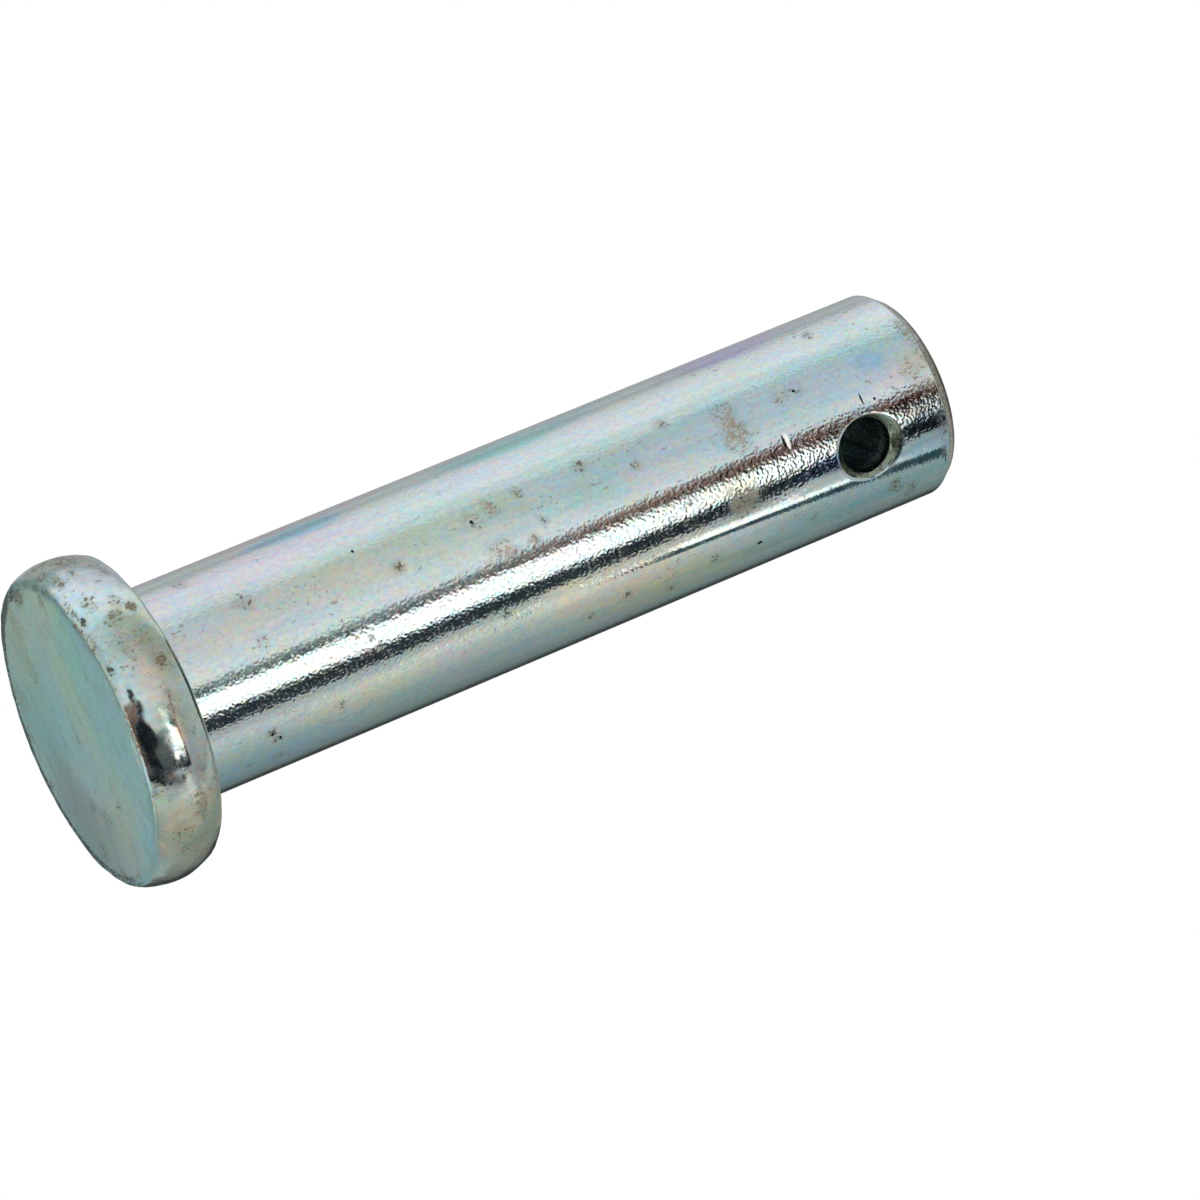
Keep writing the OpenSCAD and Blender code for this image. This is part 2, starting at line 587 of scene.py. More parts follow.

# Soft tints of the plating on the shank, and near the tip four darker ones that are painted dark reflection:
# height, angle, half length, half width, colour
SHANK_TINTS_AND_PAINTED_REFLECTIONS = (
    (14, -50, 8, 14, (1.02, 0.94, 0.98)),
    (38, -42, 40, 8, (0.93, 0.95, 0.97)),
    (38, -33, 40, 6, (0.90, 0.98, 0.96)),
    (38, -52, 40, 6, (0.98, 0.97, 1.02)),
    (20, -65, 4, 6, (0.60, 0.86, 1.06)),
    (38, -68, 6, 8, (0.66, 0.98, 1.0)),
    (57, -72, 6, 9, (0.92, 0.80, 1.12)),
    (26, -20, 12, 12, (1.0, 0.99, 0.90)),
    (18, -30, 5, 8, (1.05, 0.99, 0.94)),
    (38, -20, 5, 12, (0.88, 1.0, 1.03)),
    (58, -22, 12, 14, (0.90, 1.0, 1.06)),
    (33, 34, 10, 5, (1.16, 1.08, 1.04)),
    (41, 42, 6, 12, (1.18, 1.03, 0.90)),
    (20, 41, 6, 8, (1.18, 1.06, 0.94)),
    (44, 56, 8, 10, (1.08, 0.98, 0.84)),
    (12, 62, 5, 9, (0.88, 0.99, 1.08)),
    (28, 60, 7, 13, (0.96, 0.95, 0.97)),
    (9, 46, 6, 14, (0.92, 0.98, 1.0)),
    (62, 48, 10, 14, (0.72, 0.86, 0.90)),
    (54, -22, 18, 10, (0.92, 0.95, 0.97)),
    (54, -9, 18, 9, (0.90, 0.92, 0.94)),
    (60, 2, 12, 3, (0.86, 0.88, 0.90)),
    (43, 29, 6, 5, (1.30, 1.16, 1.06)),
    (56, 5.5, 18, 2.6, (0.97, 0.78, 0.73)),
    (58, 22, 4, 3, (0.82, 0.95, 1.3)),
    (20, -82, 14, 8, (1.04, 0.86, 0.94)),
    (51, 14, 3, 6, (1.0, 0.93, 0.82)),
    (67.0, 33, 4, 6, (0.56, 0.70, 0.80)),
    (65.0, -22, 1.2, 4, (0.76, 0.92, 1.08)),
    (68.3, -12, 1.2, 6, (1.10, 0.99, 0.82)),
    (66.0, -8, 1.0, 4, (1.12, 0.96, 0.92)),
    # Painted dark reflection: these four darken the lamp's reflection towards the tip
    (67.8, 22, 2.6, 4.6, (0.36, 0.38, 0.44)),
    (67.5, 8.2, 2.4, 4.8, (0.62, 0.56, 0.56)),
    (59.4, 22, 1.6, 4.6, (0.60, 0.60, 0.66)),
    (59.4, 7.5, 1.2, 3.8, (0.66, 0.60, 0.60)),
)

# Stains on the shank: height, angle, half length, half width, colour, strength
SHANK_STAINS = (
    (52.7, -15, 1.1, 13, (0.60, 0.52, 0.40), 0.78),
    (52.9, -16, 0.8, 9, BROWN, 0.5),
    (58.5, -22, 0.9, 6, TAN, 0.35),
    (57.3, -21, 0.5, 4, TAN, 0.6),
    (69.2, -31, 0.6, 8, OLIVE, 0.7),
    (67.8, -6, 0.8, 9, (0.62, 0.40, 0.36), 0.5),
    (68.8, 3, 0.4, 4, BROWN, 0.7),
    (62.5, -53, 0.5, 4, (0.25, 0.27, 0.28), 0.6),
    (64.5, 52, 0.6, 6, RUST, 0.6),
    (66.1, 62, 0.6, 6, RUST, 0.5),
    (65.0, 57, 0.4, 3, BROWN, 0.6),
    (12.8, -29, 0.9, 5, BROWN, 0.5),
    (12.7, -6, 0.5, 4, BROWN, 0.5),
    (11.5, 42, 0.4, 3, BROWN, 0.7),
    (11.9, 47, 0.3, 2.5, BROWN, 0.7),
    (11.9, 62, 0.5, 4, BROWN, 0.5),
    (17.1, 43, 0.4, 3, BROWN, 0.6),
    (24.3, -15, 0.5, 4, BROWN, 0.6),
    (31.0, -22.5, 0.8, 6, TAN, 0.4),
    (32.5, -27, 0.4, 3, BROWN, 0.6),
    (32.8, 0, 0.7, 3, TAN, 0.7),
    (34.7, -2, 0.5, 3, TAN, 0.6),
    (36.0, -9, 0.4, 3, BROWN, 0.5),
    (40.6, -29, 0.5, 4, BROWN, 0.6),
    (44.5, -17, 0.4, 4, BROWN, 0.5),
    (48.0, -34, 0.5, 4, BROWN, 0.5),
    (10.0, -59, 0.6, 5, BROWN, 0.4),
    (31.0, 30, 0.4, 3, BROWN, 0.5),
    (38.0, 54, 0.4, 3, BROWN, 0.6),
    (41.0, 50, 0.4, 3, BROWN, 0.6),
    (45.0, 60, 0.5, 4, BROWN, 0.5),
    (48.4, 50, 0.4, 3, BROWN, 0.6),
    (51.6, 23, 1.5, 8, TAN, 0.70),
    (50.9, 16, 0.7, 4, BROWN, 0.45),
    (52.4, 27, 0.6, 3, BLACK, 0.5),
    (47.4, 12, 0.5, 3, TAN, 0.5),
    (32.7, -26, 0.6, 5, (0.55, 0.36, 0.28), 0.7),
    (35.3, -28, 0.4, 3, OLIVE, 0.6),
    (32.0, -3, 0.9, 5, (0.70, 0.55, 0.43), 0.5),
    (69.0, -16, 0.5, 15, (0.50, 0.45, 0.28), 0.5),
    (68.9, 30, 0.35, 16, (0.42, 0.32, 0.24), 0.5),
)

# Sharp small marks on the shank: height, angle, half length along the shank, half width round it, all
# but the angle in millimetres. Pits are black and nicks are white. The black mark beside the first nick is a
# painted shadow of that nick.
PITS_AND_NICK_SHADOW = (
    (58.5, -22, 0.14, 0.14),
    (31.0, -22.5, 0.14, 0.18),
    (22.0, -33, 0.12, 0.14),
    (52.5, 52.5, 0.26, 0.16),
    (63.1, -4, 0.08, 0.5),
    (11.5, 43, 0.14, 0.16),
    (12.1, 47, 0.12, 0.16),
    # Painted shadow beside the first white nick
    (55.95, 1.6, 0.10, 0.6),
    (64.1, -1.5, 0.10, 0.14),
)
NICKS = (
    (56.25, 2.0, 0.16, 0.65),
    (33.0, 15, 0.1, 0.2),
)

# Stains on the rim of the head, with painted dark reflections and a painted highlight among them: height,
# angle, half height, half width, colour, strength
RIM_STAINS_AND_PAINTED_LIGHT = (
    (4.0, -34, 0.45, 2.6, BROWN, 0.85),
    (2.5, -32, 0.8, 3, OLIVE, 0.65),
    (3.3, -38, 0.5, 4, OLIVE, 0.5),
    (1.6, -42, 0.6, 4, OLIVE, 0.55),
    (3.9, -12, 0.5, 2, BROWN, 0.8),
    (3.4, -22, 0.7, 3, OLIVE, 0.45),
    (2.8, -72, 1.2, 7, BROWN, 0.6),
    (2.0, -80, 1.4, 6, OLIVE, 0.6),
    (4.2, -84, 0.8, 6, OLIVE, 0.6),
    (1.0, -59, 0.4, 4, OLIVE, 0.7),
    (2.3, -60, 0.3, 2.5, BROWN, 0.6),
    (0.7, -69, 0.5, 4, BROWN, 0.6),
    (2.1, -20, 0.5, 5, TAN, 0.45),
    (4.2, -58, 0.5, 8, OLIVE, 0.4),
    (0.5, -37, 0.3, 2.6, BLACK, 0.85),
    (0.4, -43, 0.2, 5, BROWN, 0.7),
    (0.4, -16, 0.25, 2.2, BLACK, 0.8),
    (0.4, -26, 0.2, 5, BROWN, 0.5),
    # Painted dark reflection: the black tail of the patch where the rim mirrors the dark stand
    (0.95, -5, 0.22, 4, BLACK, 0.9),
    (0.5, 2, 0.35, 3, RUST, 0.9),
    (0.2, 9, 0.2, 7, (0.34, 0.20, 0.09), 0.8),
    # Painted dark reflection: this one and the next two blacken the patch where the rim mirrors the dark
    # stand
    (0.9, 13, 0.5, 11, BLACK, 0.12),
    (2.1, 21, 0.3, 1.8, BLACK, 0.9),
    (1.6, 26, 0.5, 2.6, BLACK, 0.75),
    (1.7, 25, 0.3, 1.2, RUST, 0.8),
    # Painted dark reflection: a dark spot beside the lamp's hot spot
    (2.75, 21, 0.3, 1.8, (0.02, 0.05, 0.055), 0.9),
    # Painted highlight: a pale pink streak along the rim
    (3.3, 2, 0.45, 12, (0.72, 0.62, 0.57), 0.5),
    (3.35, 38, 0.5, 6, (0.45, 0.43, 0.36), 0.6),
    (1.9, 14, 0.5, 7, (0.14, 0.17, 0.13), 0.4),
    (0.6, -1, 0.4, 2.2, (0.42, 0.22, 0.16), 0.75),
    (0.35, 17, 0.2, 6, (0.24, 0.15, 0.14), 0.7),
    (2.2, 52, 1.3, 8, OLIVE, 0.35),
    (3.4, 68, 1.0, 9, OLIVE, 0.35),
)

# Soft tints on the rim, and painted highlights round the lamp's hot spot: height, angle, half height, half
# width, colour
RIM_TINTS_AND_PAINTED_HIGHLIGHTS = (
    (2.6, -48, 2.2, 13, (1.04, 1.00, 1.08)),
    (3.0, -56, 1.5, 12, (0.82, 0.84, 0.86)),
    (2.6, -76, 3.0, 12, (0.86, 0.82, 0.74)),
    (0.9, -28, 0.9, 24, (0.86, 1.02, 1.02)),
    (3.3, -6, 1.7, 28, (0.74, 0.76, 0.72)),
    (3.4, -26, 1.6, 12, (0.98, 0.98, 0.90)),
    (3.0, -8, 1.2, 10, (1.24, 1.0, 0.94)),
    # Painted highlights: the lamp's hot spot made whiter, its peach edge, and a white streak beside it in
    # two pieces
    (2.9, 13.5, 0.6, 7, (1.5, 1.46, 1.40)),
    (3.25, 11, 0.3, 7, (1.15, 0.84, 0.74)),
    (2.75, 27, 0.28, 4, (1.5, 1.6, 1.5)),
    (3.1, 34, 0.3, 5, (1.5, 1.55, 1.45)),
    (4.2, 16, 1.2, 40, (0.72, 0.74, 0.72)),
    (3.3, 26, 1.0, 12, (0.88, 0.86, 0.88)),
    (2.6, 60, 3.0, 28, (1.20, 1.00, 0.82)),
    (1.3, 39, 1.3, 9, (0.80, 0.83, 0.76)),
)

# Swellings on the rim, and dents where the last number is below 0: height, angle, half height, half width,
# how far they stand out in millimetres
RIM_SWELLINGS = (
    (3.3, 32, 0.6, 8, -0.05),
    (3.85, 13, 0.45, 9, -0.06),
    (2.2, 22, 0.5, 3, 0.03),
    (1.4, -40, 0.9, 9, -0.05),
    (3.6, -54, 0.8, 8, 0.05),
    (3.4, -18, 0.7, 7, -0.04),
    (1.8, 4, 0.5, 4, -0.03),
    (2.9, 58, 1.0, 8, -0.05),
)

# Tints on the outer face: place to the side, place towards the front, half lengths, colour
FACE_TINTS = (
    (0, 0, 30, 30, (0.93, 0.94, 0.90)),
    (0, -7.5, 12, 3.8, (0.92, 0.90, 0.84)),
    (7, -6.5, 6, 4.2, (0.74, 0.72, 0.76)),
    (9, -2, 4, 6, (0.90, 0.88, 0.86)),
    (-10, 5, 2, 4, (1.10, 1.06, 0.92)),
    (-3, 2.2, 4.5, 1.7, (1.14, 1.08, 0.88)),
    (-9.5, 1.5, 2.5, 5, (1.18, 1.03, 0.92)),
    (-7, -5, 3.5, 2.6, (1.12, 1.03, 0.92)),
    (8, -1.5, 3.4, 5, (1.18, 0.98, 0.94)),
    (6, 3.5, 3, 3.2, (1.14, 1.02, 0.90)),
    (3.5, -5, 2.4, 3.4, (1.10, 0.94, 0.98)),
    (-1.5, -5, 3, 4, (0.86, 1.0, 1.06)),
    (-1, 7.5, 8, 2.6, (0.90, 1.0, 1.06)),
    (9.2, 5.8, 1.6, 2.6, (0.84, 1.04, 1.20)),
    (-6, 6, 3.2, 1.6, (0.95, 1.08, 0.92)),
)
# Stains there: place to the side, place towards the front, half lengths, colour, strength
FACE_STAINS = (
    (-10.8, -0.4, 0.8, 1.5, BROWN, 0.8),
    (11.2, 0.9, 0.5, 1.0, BROWN, 0.6),
    (-9.6, 4.2, 0.5, 0.5, BROWN, 0.5),
    (0.4, -0.1, 0.8, 0.5, OLIVE, 0.45),
    (5.8, -1.2, 0.25, 0.9, BLACK, 0.5),
    (5.8, 2.7, 0.25, 0.8, OLIVE, 0.6),
    (-5.4, -3.8, 1.6, 0.9, OLIVE, 0.4),
    (2.6, -10.2, 0.4, 0.9, RUST, 0.6),
    (-3.8, -9.0, 1.2, 1.0, (0.55, 0.40, 0.32), 0.5),
    (-9.0, -3.4, 1.6, 1.2, OLIVE, 0.35),
    (8.4, -4.5, 0.9, 0.7, (0.10, 0.12, 0.12), 0.45),
    (6.6, -0.6, 0.6, 1.0, (0.12, 0.13, 0.14), 0.4),
    (5.2, -2.6, 0.4, 0.9, (0.12, 0.13, 0.14), 0.4),
    (10.4, -2.6, 0.7, 1.0, TAN, 0.5),
    (-1.4, -10.2, 0.8, 0.6, RUST, 0.5),
)

SHANK_MM = SHANK_R / MM
HEAD_MM = HEAD_R / MM
SEAT_MM = SEAT_Z / MM
TIP_MM = TIP_Z / MM
NECK_MM = SHANK_MM + NECK_R / MM
HOLE_MM = HOLE_R / MM
# Two heights this close are the same
TOUCH = 0.01


def smooth(value):
    value = np.clip(value, 0, 1)
    return value * value * (3 - 2 * value)


def rise(value, start, width):
    """0 up to the start, and 1 from a width past it."""
    return smooth((value - start) / width)


def fall(value, end, width):
    """1 up to a width before the end, and 0 from the end."""
    return smooth((end - value) / width)


def noise_at(points, stretch, seed):
    """Smooth noise from -1 to 1 at many points given in millimetres."""
    shift = Vector((seed * 17.3, seed * 5.1, seed * 9.7))
    return np.array([noise.noise(Vector(place) + shift) for place in points * stretch])


def blob(a, b, half_a, half_b, ragged, soft):
    """1 inside an uneven oval and 0 outside it."""
    reach = np.hypot(a / half_a, b / half_b) * (1 + 0.45 * ragged)
    return smooth((1 + soft - reach) / (2 * soft))


def read_vectors(vertices, name):
    flat = np.empty(len(vertices) * 3)
    vertices.foreach_get(name, flat)
    return flat.reshape(-1, 3)


class Skin:
    """The points of the pin in millimetres, the parts of it that they are on, and their tint and stain,
    which also carry painted highlights and painted shade.
    """

    def __init__(self, mesh):
        self.points = read_vectors(mesh.vertices, "co") / MM
        self.normals = read_vectors(mesh.vertices, "normal")
        x, y, self.z = self.points.T
        self.radius = np.hypot(x, y)
        self.angle = np.degrees((np.arctan2(y, x) - FRONT + math.pi) % (2 * math.pi) - math.pi)
        self.aside = -math.sin(FRONT) * x + math.cos(FRONT) * y
        self.toward = math.cos(FRONT) * x + math.sin(FRONT) * y
        self.from_hole = np.hypot(x, self.z - HOLE_Z / MM)

        # How much a point belongs to each part of the pin, with soft borders
        on_seat = rise(self.radius, NECK_MM, 1.0) * (self.z < SEAT_MM + TOUCH)
        self.on_head = np.clip(on_seat + (self.z < SEAT_MM - TOUCH), 0, 1)
        self.on_face = fall(self.radius, HEAD_MM - 1.0, 0.4) * (self.z < 0.05)
        self.on_rim = self.on_head * (1 - self.on_face) * rise(self.radius, HEAD_MM - 2.2, 1.0)
        self.outside = rise(self.radius, SHANK_MM - 0.12, 0.1) * (1 - self.on_head)
        self.bore = fall(self.radius, SHANK_MM - 0.9, 1.5) * (self.from_hole < HOLE_MM + 0.02)

        # Uneven patterns, from small and even ones to long streaks
        self.fine = noise_at(self.points, (1.1, 1.1, 1.1), 1)
        self.lumps = noise_at(self.points, (0.42, 0.42, 0.42), 2)
        self.waves = noise_at(self.points, (0.5, 0.5, 0.07), 3)
        self.pulls = noise_at(self.points, (0.16, 0.16, 0.2), 4)
        self.swell = noise_at(self.points, (0.2, 0.2, 0.2), 5)
        self.streaks = noise_at(self.points, (1.2, 1.2, 0.14), 6)

        # The tint and the stain also carry painted highlights, painted shade and painted dark reflections
        self.tint = np.ones((len(self.points), 3))
        self.stain = np.zeros((len(self.points), 4))

    def add_tint_and_painted_light(self, amount, colour):
        self.tint *= 1 + amount[:, None] * (np.array(colour) - 1)

    def add_stain_and_painted_light(self, amount, colour):
        self.stain[:, :3] += amount[:, None] * (np.array(colour) - self.stain[:, :3])
        self.stain[:, 3] = np.maximum(self.stain[:, 3], amount)

    def near(self, height, turn, half_z, half_turn, ragged, soft):
        """1 on an uneven oval round a height and an angle."""
        return blob(self.z - height, self.angle - turn, half_z, half_turn, ragged, soft)

    def near_on_face(self, across, toward, half_a, half_b, ragged, soft):
        """1 on an uneven oval on the outer face."""
        return blob(self.aside - across, self.toward - toward, half_a, half_b, ragged, soft)


def paint_marks(skin):
    """The tints and stains of the tables, with the painted highlights, painted shade and painted dark
    reflections among them.
    """
    for *oval, colour in SHANK_TINTS_AND_PAINTED_REFLECTIONS:
        skin.add_tint_and_painted_light(skin.outside * skin.near(*oval, skin.pulls + skin.streaks, 0.35), colour)
    for *oval, colour, strength in SHANK_STAINS:
        skin.add_stain_and_painted_light(strength * skin.outside * skin.near(*oval, skin.fine, 0.4), colour)
    for *oval, colour in RIM_TINTS_AND_PAINTED_HIGHLIGHTS:
        skin.add_tint_and_painted_light(skin.on_rim * skin.near(*oval, skin.lumps, 0.6), colour)
    for *oval, colour, strength in RIM_STAINS_AND_PAINTED_LIGHT:
        skin.add_stain_and_painted_light(strength * skin.on_rim * skin.near(*oval, skin.fine, 0.5), colour)
    for *oval, colour in FACE_TINTS:
        skin.add_tint_and_painted_light(skin.on_face * skin.near_on_face(*oval, skin.pulls, 0.6), colour)
    for *oval, colour, strength in FACE_STAINS:
        skin.add_stain_and_painted_light(strength * skin.on_face * skin.near_on_face(*oval, skin.fine, 0.5), colour)


def paint_edges(skin):
    """Brown in the corner under the head and along the edge of the outer face, heavier on one side there;
    painted shade that darkens the face edge and blackens its far sides and the tip's edge; and beige on the
    tip's chamfer.
    """
    corner = fall(np.abs(skin.z - SEAT_MM), 1.1, 1.0) * fall(skin.radius, NECK_MM + 0.5, 0.8)
    skin.add_stain_and_painted_light(0.75 * corner * (skin.z > SEAT_MM - TOUCH), BROWN)

    edge = fall(np.hypot(skin.radius - HEAD_MM + 0.9, skin.z - 0.2), 0.6, 0.6)
    patchy = smooth(0.5 + 1.2 * skin.fine + 0.8 * skin.lumps)
    browner_side = fall(np.abs(skin.angle + 60), 60, 20)
    skin.add_stain_and_painted_light(edge * (0.25 * patchy + 0.55 * browner_side * (0.4 + 0.6 * patchy)), BROWN)
    # Painted shade: a near-black outline where the face edge turns away from the front, on both sides
    skin.add_stain_and_painted_light(0.75 * edge * rise(np.abs(skin.angle), 75, 15), (0.06, 0.06, 0.05))
    border = rise(skin.radius, HEAD_MM - 1.65, 0.3) * (skin.z < 0.4) * rise(np.abs(skin.angle), 80, 20)
    skin.add_stain_and_painted_light(border * (0.75 + 0.25 * patchy), (0.03, 0.03, 0.027))
    # Painted shade: grey and blue tints darken the reflection all round the face edge
    skin.add_tint_and_painted_light(edge * rise(skin.angle, 8, 12), (0.66, 0.82, 0.90))
    skin.add_tint_and_painted_light(edge * fall(skin.angle, 6, 8), (0.66, 0.66, 0.60))

    chamfer = rise(skin.z, TIP_MM - 1.05, 0.2) * fall(skin.z, TIP_MM + 0.02, 0.05) * (1 - skin.on_head)
    skin.add_stain_and_painted_light(0.6 * chamfer, (0.42, 0.37, 0.28))
    # Painted shade: the outer edge of the tip is blackened all round as a dark outline
    tip_edge = rise(skin.z, TIP_MM - 0.45, 0.2) * rise(skin.radius, SHANK_MM - 1.05, 0.2)
    skin.add_stain_and_painted_light(0.9 * tip_edge * smooth(0.7 + 0.8 * skin.fine), (0.04, 0.04, 0.035))
    skin.add_tint_and_painted_light(0.9 * tip_edge, (0.22, 0.22, 0.22))


def paint_hole(skin):
    """Dull olive countersinks with a brown lip, and a bore painted near black with a green cast, which is
    painted shade.
    """
    near_hole = (skin.from_hole > HOLE_MM + 0.04) * (skin.from_hole < HOLE_MM + 0.9)
    sink = near_hole * (skin.radius < SHANK_MM - 0.03)
    skin.add_tint_and_painted_light(sink, (0.46, 0.49, 0.40))
    skin.add_stain_and_painted_light(0.75 * sink * smooth(0.55 + 1.2 * skin.fine), (0.20, 0.21, 0.15))
    lip = fall(np.abs(skin.from_hole - HOLE_MM - 0.78), 0.16, 0.16)
    skin.add_stain_and_painted_light(0.6 * lip * smooth(0.6 + skin.fine), BROWN)
    # Painted shade: the bore is made near black
    skin.add_stain_and_painted_light(0.95 * skin.bore, (0.005, 0.028, 0.032))


def relief_of(skin):
    """How far each point moves out, in millimetres."""
    # The forged rim leans out a little towards the underside, on the front side
    lean = 0.056 * (skin.z - SEAT_MM / 2) * fall(np.abs(skin.angle - 14), 65, 40)
    swellings = sum(out * skin.near(*oval, skin.lumps, 0.8) for *oval, out in RIM_SWELLINGS)
    relief = skin.on_rim * (lean + swellings + 0.05 * skin.lumps + 0.035 * skin.fine)
    return relief + 0.03 * skin.on_face * skin.swell + 0.0035 * skin.outside * skin.waves


def calm_of(skin):
    """Where the plating is smoother: along one strip towards the tip, on the rim, and in the bore."""
    calm = skin.outside * skin.near(62, 43, 32, 15, skin.pulls, 0.17) + 0.6 * skin.on_rim + 0.9 * skin.bore
    return calm + 0.35 * skin.on_rim * skin.near(1.0, 13, 1.2, 14, skin.lumps, 0.4)


def paint(pin):
    """Gives the pin its relief, and its tint, stain and zone colours. The tint and stain colours hold
    painted highlights and painted shade too.
    """
    skin = Skin(pin.data)
    paint_marks(skin)
    paint_edges(skin)
    paint_hole(skin)
    moved = skin.points + skin.normals * relief_of(skin)[:, None]
    moved = moved + skin.on_head[:, None] * np.array(HEAD_SHIFT) / MM
    pin.data.vertices.foreach_set("co", (moved * MM).ravel())
    zone = np.stack((skin.on_face, skin.on_rim, calm_of(skin)), 1)
    for name, values in (("tint", skin.tint), ("stain", skin.stain), ("zone", zone)):
        colours = np.ones((len(values), 4))
        colours[:, :values.shape[1]] = values
        layer = pin.data.color_attributes.new(name, "FLOAT_COLOR", "POINT")
        layer.data.foreach_set("color", colours.ravel())
    pin.data.update()


# Material of the plating


def spots(place, places):
    """1 on each of a few small oval marks on the shank."""
    masks = []
    for height, turn, half_z, half_round in places:
        angle = FRONT + math.radians(turn)
        away = place.vector("SUBTRACT", (SHANK_MM * math.cos(angle), SHANK_MM * math.sin(angle), height))
        reach = away.vector("MULTIPLY", (1 / half_round, 1 / half_round, 1 / half_z)).length()
        masks.append(reach.ramp(0.75, 1.15, 1, 0))
    return functools.reduce(Field.at_least, masks)


def clean_film(tree, place, face_place, mottle, on_face):
    """Colour of the plating by itself: grey with greenish, bluish, warm and lavender clouds and streaks,
    times the tint colours, which also carry painted highlights and painted dark reflections.
    """
    long_streak = place.grain((2.2, 2.2, 0.12), detail=4, roughness=0.6)
    face_streak = face_place.grain((0.5, 0.16, 0.4), detail=4, roughness=0.65)
    streak = long_streak * (1 - on_face) + face_streak * on_face
    cloud = place.grain((0.28, 0.28, 0.16), detail=3).ramp(0.36, 0.64, 0, 1)
    warm = place.grain((0.5, 0.5, 0.22), detail=3).ramp(0.55, 0.75, 0, 0.55)
    cool = place.grain((0.8, 0.8, 0.16), detail=3).ramp(0.56, 0.72, 0, 0.6)
    hue = place.grain((1.4, 1.4, 1.0), detail=3).ramp(0.36, 0.64, 0, 1)
    flecks = place.grain((3.4, 3.4, 2.4), detail=2, kind="Color")
    patchy = face_place.grain((0.75, 0.34, 0.5), detail=4, roughness=0.7).ramp(0.48, 0.68, 0, 0.75)

    film = mixed(tree, cloud, (0.585, 0.675, 0.645, 1), (0.635, 0.65, 0.68, 1))
    film = mixed(tree, warm, film, (0.66, 0.64, 0.56, 1))
    film = mixed(tree, cool, film, (0.50, 0.65, 0.69, 1))
    film = mixed(tree, streak.ramp(0.38, 0.66, 0, 0.30), film, (0.70, 0.74, 0.74, 1))
    film = mixed(tree, mottle.ramp(0.42, 0.25, 0, 0.30), film, (0.36, 0.38, 0.36, 1))
    film = mixed(tree, 0.85, film, flecks, "SOFT_LIGHT")
    hues = mixed(tree, hue, (0.56, 0.50, 0.41, 1), (0.43, 0.52, 0.57, 1))
    film = mixed(tree, 0.75, film, hues, "OVERLAY")
    film = mixed(tree, patchy * on_face, film, (0.50, 0.52, 0.47, 1))
    # The tint colours also carry painted highlights and painted dark reflections
    tint = source(tree, "ShaderNodeVertexColor", "Color", layer_name="tint")
    return mixed(tree, 1.0, film, tint, "MULTIPLY")


def stain_and_painted_light_cover(tree, place, mottle):
    """How much a stain, a painted shade or a painted highlight hides. It is solid where it is strong, and
    breaks into specks where it is weak.
    """
    amount = source(tree, "ShaderNodeVertexColor", "Alpha", layer_name="stain")
    crumbs = place.grain((4.0, 4.0, 3.4), detail=2, roughness=0.6)
    cover = (amount * 0.45 + crumbs).ramp(0.67, 0.88, 0, 0.9) * amount.ramp(0.02, 0.2, 0, 1)
    return cover.at_least(amount * mottle.ramp(0.35, 0.65, 0.2, 0.6))


def plate_height(place, up, soil_and_painted_light, calm):
    """Height in metres: a fine and a coarser grain all over, and a rough and a turned one near the tip."""
    even = place.grain((4.4, 4.4, 4.0), detail=0) * 10.0e-6
    pebble = place.grain((2.3, 2.3, 2.1), detail=1, roughness=0.5) * 6.0e-6
    dotty = place.grain((4.7, 4.7, 4.5), detail=0) * up.ramp(49, 58, 0, 12.5e-6)
    turned = place.grain((2.2, 2.2, 5.0), detail=0) * up.ramp(48, 58, 0.5e-6, 3.0e-6)
    return (even + pebble + dotty + turned + soil_and_painted_light * -4.0e-6) * calm.ramp(0, 1, 1, 0.06)


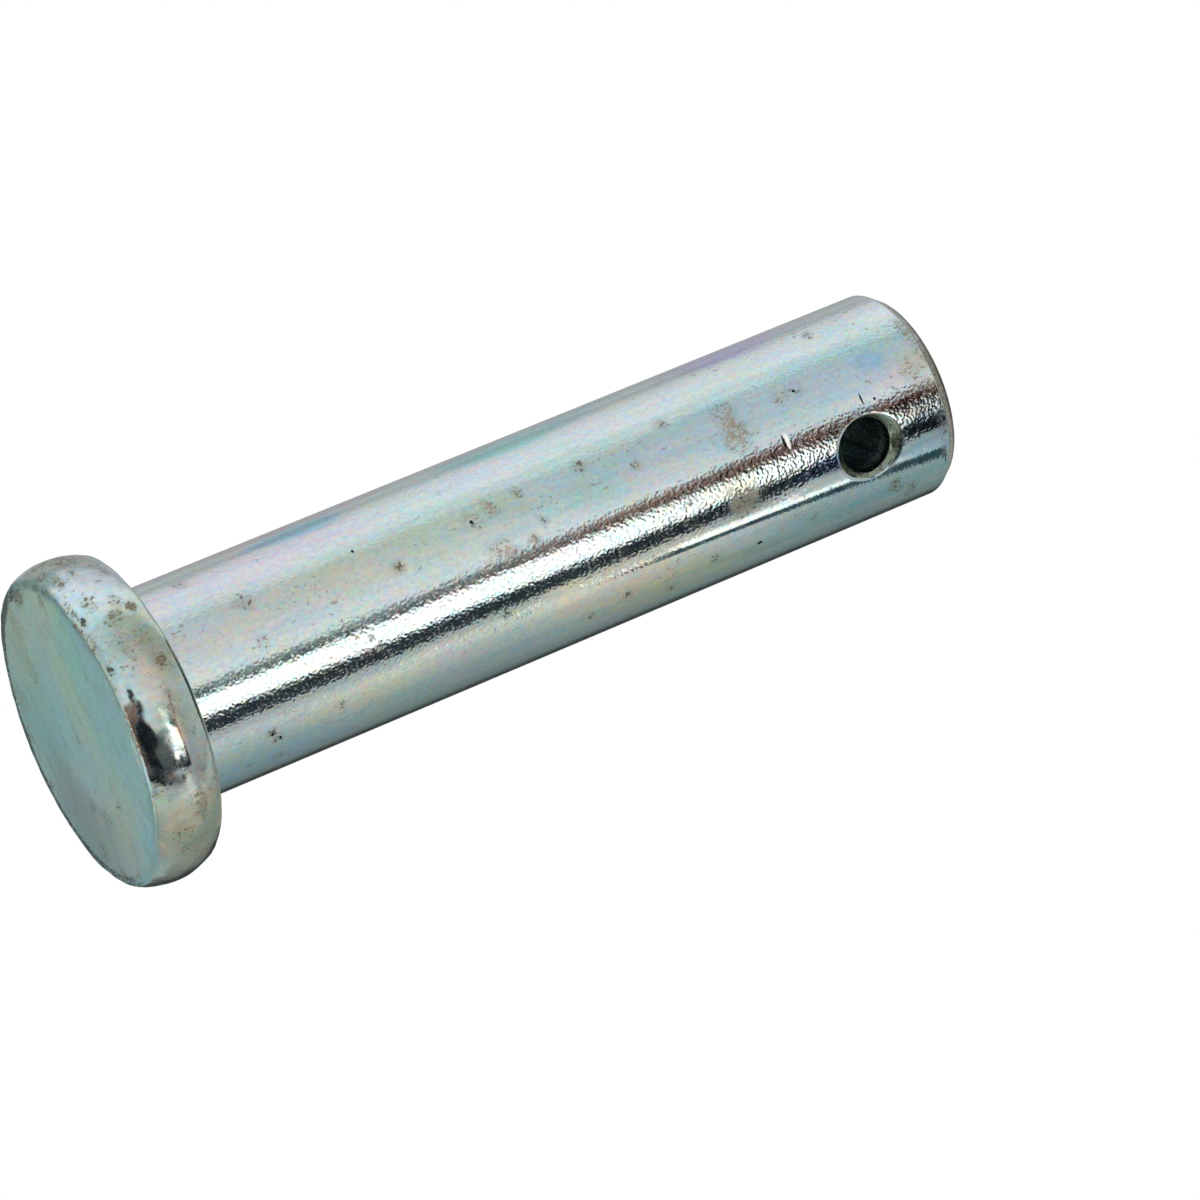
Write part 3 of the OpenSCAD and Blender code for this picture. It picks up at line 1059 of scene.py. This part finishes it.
def make_plate():
    """Zinc plating: streaked, faintly blue-green and lavender, with small brown specks and stains, and with
    the painted highlights and painted shade of the tint and stain colours.
    """
    material = bpy.data.materials.new("zinc_plate")
    material.use_nodes = True
    tree = material.node_tree
    shader = tree.nodes["Principled BSDF"]
    place = source(tree, "ShaderNodeTexCoord", "Object").vector("MULTIPLY", (1 / MM, 1 / MM, 1 / MM))
    up = place.parts()[2]
    zone = source(tree, "ShaderNodeVertexColor", "Color", layer_name="zone")
    on_face, on_rim, calm = zone.parts("ShaderNodeSeparateColor")
    mottle = place.grain((1.6, 1.6, 1.1), detail=4, roughness=0.65)

    # Specks gather in loose patches, and more of them lie on the rim
    dots = place.grain((2.6, 2.6, 2.0), detail=3, roughness=0.6)
    patch = place.grain((0.33, 0.33, 0.2), detail=2) + on_rim * 0.08
    speck = (patch * 0.45 + dots).ramp(0.89, 0.97, 0, 0.6)
    cover = stain_and_painted_light_cover(tree, place, mottle)
    nicked = spots(place, NICKS)
    film = clean_film(tree, place, place.facing(), mottle, on_face)
    film = mixed(tree, speck, film, (0.24, 0.19, 0.12, 1))
    # The stain colours also carry painted shade, painted dark reflections and a painted highlight
    film = mixed(tree, cover, film, source(tree, "ShaderNodeVertexColor", "Color", layer_name="stain"))
    # Black pits, and a painted shadow beside the first nick
    film = mixed(tree, spots(place, PITS_AND_NICK_SHADOW), film, (0.015, 0.015, 0.012, 1))
    film = mixed(tree, nicked, film, (0.92, 0.92, 0.88, 1))
    feed(tree, shader.inputs["Base Color"], film)

    # This covers the painted shade and highlights as well as the stains and specks
    soil_and_painted_light = speck.at_least(cover)
    feed(tree, shader.inputs["Metallic"], soil_and_painted_light.ramp(0, 1, 1, 0.8, smoothly=False) * (1 - nicked))

    # Matt grains on the shank, fewer towards the tip and none where it is calm
    matt = place.grain((5.0, 5.0, 4.6), detail=0).ramp(0.56, 0.70, 0, 0.14)
    matt = matt * up.ramp(44, 56, 1, 0.1) * calm.ramp(0, 0.5, 1, 0)
    dull = mottle.ramp(0.3, 0.7, 0.06, 0.13) + soil_and_painted_light * 0.30 + on_rim * 0.03 + on_face * 0.10 + matt
    feed(tree, shader.inputs["Roughness"], dull * (calm - on_rim).ramp(0, 1, 1, 0.5))

    bump = tree.nodes.new("ShaderNodeBump")
    bump.inputs["Strength"].default_value = 1
    bump.inputs["Distance"].default_value = 1
    feed(tree, bump.inputs["Height"], plate_height(place, up, soil_and_painted_light, calm))
    tree.links.new(bump.outputs[0], shader.inputs["Normal"])
    return material


# Floor and lamp

FLOOR_DROP = 0.1 * MM
FLOOR_HALF = 0.8
# Distances from the pin's axis between which the paper fades to pure white
FADE_START = 0.05
FADE_END = 0.18
LAMP_PLACE = Vector((-0.35, -0.30, 0.75))
LAMP_WIDTH = 0.5
LAMP_WATTS = 2.4


def make_floor():
    """A white floor just under the head, seen from above only. It fades to pure white away from the pin."""
    mesh = bmesh.new()
    bmesh.ops.create_grid(mesh, x_segments=1, y_segments=1, size=FLOOR_HALF)
    data = bpy.data.meshes.new("floor")
    mesh.to_mesh(data)
    mesh.free()
    floor = bpy.data.objects.new("floor", data)
    floor.location.z = -FLOOR_DROP
    floor.visible_glossy = False
    floor.visible_shadow = False
    floor.visible_diffuse = False
    bpy.context.scene.collection.objects.link(floor)

    material = bpy.data.materials.new("floor")
    material.use_nodes = True
    tree = material.node_tree
    tree.nodes.clear()
    fade = source(tree, "ShaderNodeTexCoord", "Object").length().ramp(FADE_START, FADE_END, 0, 1)
    paper = shaded(tree, "ShaderNodeBsdfDiffuse", (0.93, 0.93, 0.93, 1))
    above = chosen(tree, fade, paper, shaded(tree, "ShaderNodeEmission"))
    from_below = source(tree, "ShaderNodeNewGeometry", "Backfacing")
    output = tree.nodes.new("ShaderNodeOutputMaterial")
    clear = shaded(tree, "ShaderNodeBsdfTransparent")
    feed(tree, output.inputs["Surface"], chosen(tree, from_below, above, clear))
    floor.data.materials.append(material)


def make_lamp():
    """A large soft lamp high on the left, for the shadow on the floor."""
    data = bpy.data.lights.new("soft_lamp", "AREA")
    data.size = LAMP_WIDTH
    data.energy = LAMP_WATTS
    lamp = bpy.data.objects.new("soft_lamp", data)
    lamp.location = LAMP_PLACE
    lamp.rotation_euler = (-LAMP_PLACE).to_track_quat("-Z", "Y").to_euler()
    lamp.visible_glossy = False
    bpy.context.scene.collection.objects.link(lamp)


bpy.context.scene.view_settings.view_transform = "Standard"
make_camera()
make_world()
make_floor()
make_lamp()

pin = make_pin()
paint(pin)
pin.data.materials.append(make_plate())
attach(pin, "root")
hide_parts("anchor_pin")
